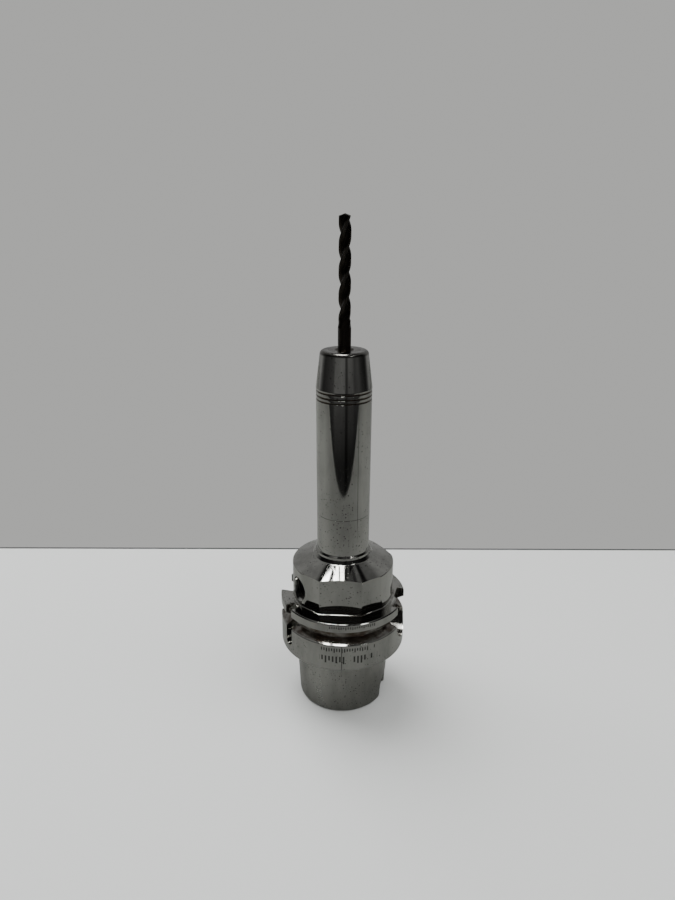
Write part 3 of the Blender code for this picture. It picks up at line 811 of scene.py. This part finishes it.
def coated_carbide():
    """Titanium nitride based coating on carbide: near black, slightly warm, half gloss."""
    mat, tree, shader = new_material("coated_carbide", "#28241f", 0.26)
    _, radius, height, _ = turned_coordinates(tree)
    patch = blotches(tree, 1.6, 3.0, 0.6)
    # painted sheen: the lands at full radius are painted lighter
    wear_and_sheen = overlap(tree, window(tree, radius, 2.7, 2.9, 0.02),
                   window(tree, height, 196.0, 240.0, 0.5), 0.45)
    painted(tree, shader, "#292725", [(patch, "#3f3932"), (wear_and_sheen, "#6a665f")])
    rough = node(tree, "MapRange", (patch, 0.0, 1.0, 0.2, 0.38))
    feed(tree, shader, {"Roughness": rough})
    return mat


CARBIDE = coated_carbide()
print(len(bpy.data.materials), "materials")

# %% [markdown]
# ## The base: shank, flange and body
#
# On the real chuck this is one steel forging. It is turned to its outline inside and out, then
# milled: two drive keys in the shank end, two driving slots and an index notch in the flange,
# flats on the body, and the bores of the hydraulic system. The lesson works in the same order.
# The outline goes round the axis once, and then each milling cutter is a solid of its own,
# subtracted exactly. A last small bevel stands for the deburring that every edge gets.

# %% Turn the blank
BODY_RADIUS = 25.3
NECK_RADIUS = 12.9
SEAM_GAP = 0.08
BASE_OUTLINE = [
    # taper shank, undercut and contact face
    (17.6, 0, 0.1), (21.4, 0, 0.25), (22.45, 1.0, 0.4), (23.9, 30.5, 0.2), (23.3, 31.0, 0.2),
    (23.3, 32.5, 0.2), (24.3, 32.5, 0.1), (24.3, 32.0, 0.1), (31.0, 32.0, 0.15),
    # flange with its gripper groove
    (31.5, 32.5, 0.3), (31.5, 46.3, 0.5), (27.5, 48.61, 0.35), (27.5, 51.39, 0.35),
    (31.5, 53.7, 0.3), (31.5, 57.5, 0.3), (31.0, 58.0, 0.3),
    # body, its cone and the small ring at the neck's foot
    (BODY_RADIUS, 58.0, 0.6), (BODY_RADIUS, 75.93, 0.6), (14.9, 80.35, 1.2), (14.05, 81.6, 0.5),
    (13.75, 82.0, 0.15), (13.7, 83.1, 0.2), (NECK_RADIUS, 83.9, 0.4),
    (NECK_RADIUS, SEAM_Z - SEAM_GAP / 2, 0.06),
    # down through the socket for the neck, the coolant bore and the shank's cavity
    (10.6, SEAM_Z - SEAM_GAP / 2, 0), (10.6, 87.7, 0.1), (3.6, 87.7, 0.1), (3.6, 39.2, 0.1),
    (9.0, 39.2, 0.3), (9.0, 27.0, 0.3), (13.0, 27.0, 0.5), (18.5, 21.5, 0.6),
    (18.5, 10.6, 0.6), (17.0, 8.0, 0.4), (17.0, 0.6, 0.15),
]
base = turned("holder_base_fine", BASE_OUTLINE, POLISHED, steps=288)
print("blank", len(base.data.polygons), "faces")

# %% [markdown]
# A slot cutter's outline is a rectangle that may end in a half circle, as an end mill leaves
# it. The radial frame stands it up: across the slot, up the axis, and out from the axis. Turned
# back by 90 degrees, the same frame has its X pointing outward, which suits the flats.

# %% Milling cutters


def radial(azimuth, height=0.0, start=(0.0, 0.0)):
    """Frame of a radial feature: X across it, Y up the chuck, Z outward along an azimuth."""
    a = math.radians(azimuth)
    matrix = np.eye(4)
    matrix[:3, 0] = (-math.sin(a), math.cos(a), 0)
    matrix[:3, 1] = (0, 0, 1)
    matrix[:3, 2] = (math.cos(a), math.sin(a), 0)
    matrix[:3, 3] = (*start, height)
    return matrix


def slot_outline(half, low, high, round_low=True, round_high=False, steps=24):
    """Outline 2 half wide between two heights. A rounded end is a half circle about its height:
    (half cos t, height + half sin t)."""
    turn = np.linspace(0, np.pi, steps)
    arc = np.stack([half * np.cos(turn), half * np.sin(turn)], 1)
    top = arc + (0, high) if round_high else np.array([(half, high), (-half, high)])
    bottom = -arc + (0, low) if round_low else np.array([(-half, low), (half, low)])
    return np.vstack([top, bottom])


KEYWAY = slot_outline(6.27, -2.0, 6.5, round_low=False, round_high=True)
cutters = [prism(f"keyway_{a}", KEYWAY, 13, 28, POLISHED, radial(a)) for a in (0, 180)]
cutters += [
    prism("wide_slot", slot_outline(9.0, 46.1, 66), 26.5, 36, POLISHED, radial(0)),
    prism("narrow_slot", slot_outline(8.0, 46.1, 58, True, True), 24, 36, POLISHED, radial(180)),
    prism("index_notch", slot_outline(2.6, 39.0, 64), 27.3, 36, POLISHED, radial(226.4)),
]
for azimuth, distance in ((281.5, 23.1), (245.2, 24.65), (317.8, 24.65), (50.0, 22.5)):
    side = rounded([(distance, 58.02, 0.5), (32, 58.02), (32, 77.5), (distance, 77.5)], 7)
    cutters.append(prism(f"flat_{azimuth}", side, -14, 14, POLISHED, radial(azimuth - 90)))
print(len(cutters), "cutters so far")

# %% [markdown]
# The hydraulic bores come next. The clamping screw's bore is threaded, and at this size the
# thread is drawn as rings one millimetre apart, which look the same from outside.

# %% Boring tools
BLEED_Z = 68.4
GALLERY = 7.2 * np.array([math.cos(math.radians(SCREW_AZIMUTH)),
                          math.sin(math.radians(SCREW_AZIMUTH))])


def thread_outline(root, crest, low, high, pitch=1.0):
    """Zigzag of radius from crest to root and back once per pitch of height."""
    turns = int((high - low) / pitch)
    radius = np.tile((crest, root, root, crest), turns)
    share = np.tile((0.06, 0.46, 0.60, 1.0), turns)
    height = low + pitch * (np.repeat(np.arange(turns), 4) + share)
    return list(zip(radius.tolist(), height.tolist()))


screw_bore = [(0, 6.0), (4.0, 6.0), (4.0, 16.0), (5.3, 16.0)]
screw_bore += thread_outline(5.6, 5.3, 16.2, 24.3)
screw_bore += [(5.6, 24.6), (7.3, 26.3), (7.3, 30.0), (0, 30.0)]
bleed_bore = [(0, 0.5), (0.8, 0.5), (0.8, 13.0), (1.9, 14.1), (1.9, 15.6), (2.75, 15.6),
              (2.75, 24.0), (3.3, 24.6), (3.3, 30.0), (0, 30.0)]
cutters += [
    turned("screw_bore", screw_bore, POLISHED, 48, radial(SCREW_AZIMUTH, SCREW_Z)),
    turned("bleed_bore", bleed_bore, POLISHED, 32,
           radial(SCREW_AZIMUTH - 90, BLEED_Z, GALLERY)),
    turned("chip_bore", [(0, 22.9), (5.0, 22.9), (5.0, 34), (0, 34)], POLISHED, 48,
           radial(90, 50)),
]
over_gallery = np.eye(4)
over_gallery[:2, 3] = GALLERY
gallery_bore = [(0, 38.2), (1.6, 38.2), (1.6, 45.0), (1.0, 45.0), (1.0, 89.0), (0, 89.0)]
cutters.append(turned("gallery_bore", gallery_bore, POLISHED, 24, over_gallery))
mill(base, cutters)
print("milled", len(base.data.polygons), "faces")

# %% Deburr and shade the base
edge_break = base.modifiers.new("edge_break", "BEVEL")
edge_break.width = 0.3 * MM
edge_break.segments = 2
edge_break.limit_method = "ANGLE"
edge_break.angle_limit = math.radians(38)
edge_break.use_clamp_overlap = True
show(base, "holder")

# %% [markdown]
# ## The neck and the nose
#
# The neck is a tube pressed into the base, so a hairline seam shows where the two meet. Near its
# top are three narrow grooves, and above them the nose tapers in to a small flat face.

# %% Neck tube
nose = [(10.3, 88.0, 0.3), (10.3, SEAM_Z + SEAM_GAP / 2, 0), (12.9, SEAM_Z + SEAM_GAP / 2, 0.06),
        (12.95, 130.0, 0)]
for middle in (159.8, 161.7, 163.8):
    nose += [(13.0, middle - 0.42, 0.08), (12.6, middle - 0.2, 0.06),
             (12.6, middle + 0.2, 0.06), (13.0, middle + 0.42, 0.08)]
nose += [(13.05, 164.8, 1.0), (11.0, NOSE_Z, 2.2), (7.3, NOSE_Z, 0.05), (7.3, 138.0, 0.1),
         (3.6, 138.0, 0.1), (3.6, 88.0, 0.2)]
neck = turned("neck_tube_fine", nose, POLISHED, steps=256, arc=9)
neck_bore = [(0, 87.0), (1.0, 87.0), (1.0, 168.0), (0, 168.0)]
mill(neck, [turned("neck_gallery", neck_bore, POLISHED, 24, over_gallery)])
show(neck, "holder")

# %% [markdown]
# Inside the nose sits the expansion sleeve. Oil behind its thin wall squeezes it onto the tool.
# Only its end face shows, with a countersink that leads the tool in.

# %% Expansion sleeve
sleeve_outline = [(3.06, NOSE_Z - 1.4, 0.1), (4.46, NOSE_Z, 0.35), (7.26, NOSE_Z, 0.05),
                  (7.26, 175.0, 0), (7.0, 174.0, 0), (5.6, 174.0, 0.2), (5.6, 165.0, 0.2),
                  (7.0, 165.0, 0), (7.0, 160.0, 0), (5.6, 160.0, 0.2), (5.6, 151.0, 0.2),
                  (7.0, 151.0, 0), (7.0, 138.3, 0.1), (2.8, 138.3, 0.1), (2.8, 143.0, 0.05),
                  (3.06, 143.0, 0)]
show_turned("expansion_sleeve", "holder", sleeve_outline, GROUND, 160)

# %% [markdown]
# ## The clamping train
#
# One hexagon key clamps the tool. It drives a black screw, which pushes a ball, a piston and a
# seal inward along one radial bore, and the piston squeezes the oil. Each piece is turned, laid
# in the radial frame and given its own body, because the screw turns while the rest only slides.

# %% Clamping screw


def with_socket(piece, across_flats, floor, mouth, matrix=UPRIGHT):
    """Cut a hexagon socket, and a small cone that leads the key in."""
    key = prism("key", hexagon(across_flats), floor, mouth + 0.5, BLACK, matrix)
    corner = across_flats / math.sqrt(3)
    lead = [(0, mouth - 0.35), (corner - 0.3, mouth - 0.35), (corner + 0.35, mouth + 0.3),
            (0, mouth + 0.3)]
    return mill(piece, [key, turned("lead", lead, BLACK, 32, matrix)])


train = radial(SCREW_AZIMUTH, SCREW_Z)
screw = [(0, 18.0), (0.9, 18.0), (2.2, 16.8), (4.7, 16.8)]
screw += thread_outline(4.9, 5.2, 17.0, 21.6)
screw += [(4.7, 22.0), (0, 22.0)]
clamping_screw = turned("clamping_screw_fine", screw, BLACK, 64, train)
with_socket(clamping_screw, 5.0, 18.8, 22.0, train)
show(clamping_screw, "actuating_screw")

# %% Piston, its rings and the thrust ball


def ball_outline(radius, height=0.0, steps=25):
    """Half circle from pole to pole: (radius sin t, height - radius cos t)."""
    t = np.linspace(0, np.pi, steps)
    outline = np.stack([radius * np.sin(t), height - radius * np.cos(t)], 1)
    outline[[0, -1], 0] = 0
    return outline


def ring_outline(middle, half, height, steps=20):
    """Section of a ring of round cord: (middle + half cos t, height + half sin t)."""
    t = np.linspace(0, 2 * np.pi, steps, endpoint=False)
    return np.stack([middle + half * np.cos(t), height + half * np.sin(t)], 1)


piston_outline = [(0, 8.8), (1.5, 8.8, 0.15), (1.5, 11.4, 0.1), (3.7, 11.4, 0.15),
                  (3.7, 15.0, 0.2), (2.2, 15.0, 0.1), (0.6, 13.4, 0.2), (0, 13.4)]
seal_outline = [(1.75, 8.7, 0.1), (2.4, 9.3, 0.15), (3.1, 9.3, 0.15), (3.8, 8.7, 0.1),
                (3.8, 10.2, 0.15), (1.75, 10.2, 0.1)]
backup_outline = [(1.75, 10.4, 0.06), (3.8, 10.4, 0.06), (3.8, 11.15, 0.06), (1.75, 11.15, 0.06)]
TRAIN = [
    ("clamping_piston", piston_outline, BRIGHT),
    ("piston_seal", seal_outline, RUBBER),
    ("piston_backup_ring", backup_outline, WHITE),
    ("thrust_ball", ball_outline(2.0, 15.9), BRIGHT),
]
for name, outline, mat in TRAIN:
    show_turned(name, "pressure_piston", outline, mat, 64, train)

# %% [markdown]
# A second, smaller screw closes the hole through which the oil was filled and bled. Its ball
# seals on a cone, and another small plug closes the gallery where it was drilled in from below.

# %% Bleed screw and plugs
bleed = radial(SCREW_AZIMUTH - 90, BLEED_Z, GALLERY)
bleed_outline = [(0, 16.2), (2.1, 16.2)] + thread_outline(2.3, 2.5, 16.5, 21.9, 0.5)
bleed_outline += [(2.2, 22.2), (0, 22.2)]
bleed_screw = turned("bleed_screw_fine", bleed_outline, BLACK, 48, bleed)
with_socket(bleed_screw, 2.5, 19.9, 22.2, bleed)
show(bleed_screw, "holder")

show_turned("bleed_ball", "holder", ball_outline(1.5, 14.55), BRIGHT, 48, bleed)
show_turned("gallery_plug_shell", "holder", [
    (0, 44.4), (1.4, 44.4, 0.1), (1.4, 40.4, 0.1), (1.0, 40.4, 0.05), (1.0, 43.9, 0.1), (0, 43.9),
], BRIGHT, 48, over_gallery)
show_turned("gallery_plug_ball", "holder", ball_outline(0.85, 42.6), BRIGHT, 32, over_gallery)

# %% [markdown]
# ## Coolant supply, length stop and data chip
#
# A short tube brings coolant in from the spindle. It floats a degree or so on two rubber rings,
# and a slotted nut holds it. Under the tool a hollow screw sets how deep the tool goes. In the
# flange's groove sits a small round data chip, and its face stays just below the groove floor.

# %% Coolant set
show_turned("coolant_tube", "coolant_pipe", [
    (4.4, 3.0, 0.1), (5.6, 3.0, 0.15), (6.0, 3.6, 0.2), (6.0, 35.2, 0.2), (8.0, 35.2, 0.2),
    (8.0, 37.0, 0.2), (4.0, 37.0, 0.2), (4.0, 3.4, 0.1)], GROUND, 96)

nut_outline = [(6.6, 27.6, 0.15), (8.4, 27.6, 0.15)]
nut_outline += thread_outline(8.45, 8.7, 27.9, 32.8)
nut_outline += [(8.4, 33.0), (6.6, 33.0, 0.15)]
nut = turned("coolant_tube_nut_fine", nut_outline, GROUND, 96)
bar = [(-10, -1), (10, -1), (10, 1), (-10, 1)]
spun = [np.array(Matrix.Rotation(math.radians(a), 4, "Z")) for a in (45, 135)]
mill(nut, [prism("bar", bar, 26.0, 29.4, GROUND, matrix) for matrix in spun])
show(nut, "holder")

show_turned("coolant_seal_front", "tube_seals", ring_outline(4.95, 0.65, 38.1), RUBBER, 72,
            angle=60)
show_turned("coolant_seal_rear", "tube_seals", ring_outline(7.35, 0.7, 34.1), RUBBER, 72,
            angle=60)

# %% Length stop and chip
stop_outline = [(0.75, 137.4, 0.05), (2.2, 137.4)]
stop_outline += thread_outline(2.3, 2.5, 137.6, 152.9, 0.8)
stop_outline += [(1.8, 153.0, 0.1), (1.8, 155.0, 0.1), (2.7, 155.0, 0.1), (2.7, 157.1, 0.1),
                 (2.4, 157.4, 0.05), (0.75, 157.4, 0.05)]
stop = turned("stop_screw_fine", stop_outline, BLACK, 48)
mill(stop, [prism("stop_key", hexagon(2.5), 136.0, 140.4, BLACK)])
show(stop, "length_stop")

show_turned("stop_screw_seal", "length_stop_ring", ring_outline(2.45, 0.45, 154.0), RUBBER, 64,
            angle=60)
show_turned("data_chip", "holder", [
    (0, 23.2), (4.7, 23.2, 0.1), (4.7, 27.2, 0.15), (4.0, 27.2, 0.05), (3.9, 27.05, 0.05),
    (0, 27.05)], CHIP, 64, radial(90, 50))

# %% [markdown]
# ## The drill
#
# A twist drill is a section carried along a helix. The section is a circle with three bites
# taken out, the flutes, which leave three narrow lands at full radius. Each step up the drill
# turns the section a little further, and at the tip every line ends on one shallow cone.

# %% Drill surface
DRILL_BOTTOM = 157.7
SHANK_TOP = 191.7
FLUTE_START = 195.0
TOOL_RADIUS, FLUTED_RADIUS = 3.0, 2.75
LEAD = 31.8
FLUTES = 3
CORE = 0.45
LAND_HALF = math.radians(12)
POINT_SLOPE = math.tan(math.radians(20))
TIP_AZIMUTH = math.radians(224.75)


def fluted_share(turn):
    """Section radius as a share of full. Across a land it is 1. Between lands, with s going
    from 0 at the land's edge to 1 in mid flute, it is 1 - (1 - core) sin(s pi / 2) ^ 0.8."""
    pitch = 2 * np.pi / FLUTES
    away = np.abs((turn + pitch / 2) % pitch - pitch / 2)
    s = np.clip((away - LAND_HALF) / (pitch / 2 - LAND_HALF), 0, 1)
    return 1 - (1 - CORE) * np.sin(s * np.pi / 2) ** 0.8


def drill_surface(around=120, levels=230):
    """Grid over angle and height. At height z the section is turned by 2 pi (z - tip) / lead,
    and its flutes fade in over the first five millimetres. The last rows shrink each point of
    the end section towards the axis along the point cone."""
    turn = np.linspace(0, 2 * np.pi, around, endpoint=False)[None, :]
    share = fluted_share(turn)
    end = TIP_Z - POINT_SLOPE * FLUTED_RADIUS * share
    climb = np.linspace(0, 1, levels)[:, None]
    height = FLUTE_START + climb * (end - FLUTE_START)
    fade = np.sin(np.clip((height - FLUTE_START) / 5.0, 0, 1) * np.pi / 2)
    radius = FLUTED_RADIUS * (1 - fade * (1 - share))
    shrink = np.linspace(1, 0, 12)[1:, None]
    radius = np.vstack([radius, shrink * FLUTED_RADIUS * share])
    height = np.vstack([height, TIP_Z - POINT_SLOPE * shrink * FLUTED_RADIUS * share])
    low = np.array([(0, DRILL_BOTTOM), (2.6, DRILL_BOTTOM), (TOOL_RADIUS, DRILL_BOTTOM + 0.4),
                    (TOOL_RADIUS, SHANK_TOP - 0.1), (TOOL_RADIUS - 0.02, SHANK_TOP + 0.2)])
    radius = np.vstack([low[:, :1] + 0 * turn, radius])
    height = np.vstack([low[:, 1:] + 0 * turn, height])
    azimuth = TIP_AZIMUTH + turn - 2 * np.pi * (TIP_Z - height) / LEAD
    points = np.stack([radius * np.cos(azimuth), radius * np.sin(azimuth), height], -1)
    return points.reshape(-1, 3), grid_faces(len(height), around, False, True)


points, faces = drill_surface()
drill = make_object("drill_bit_fine", points * MM, faces, CARBIDE, weld=True)
show(drill, "tool", angle=40)
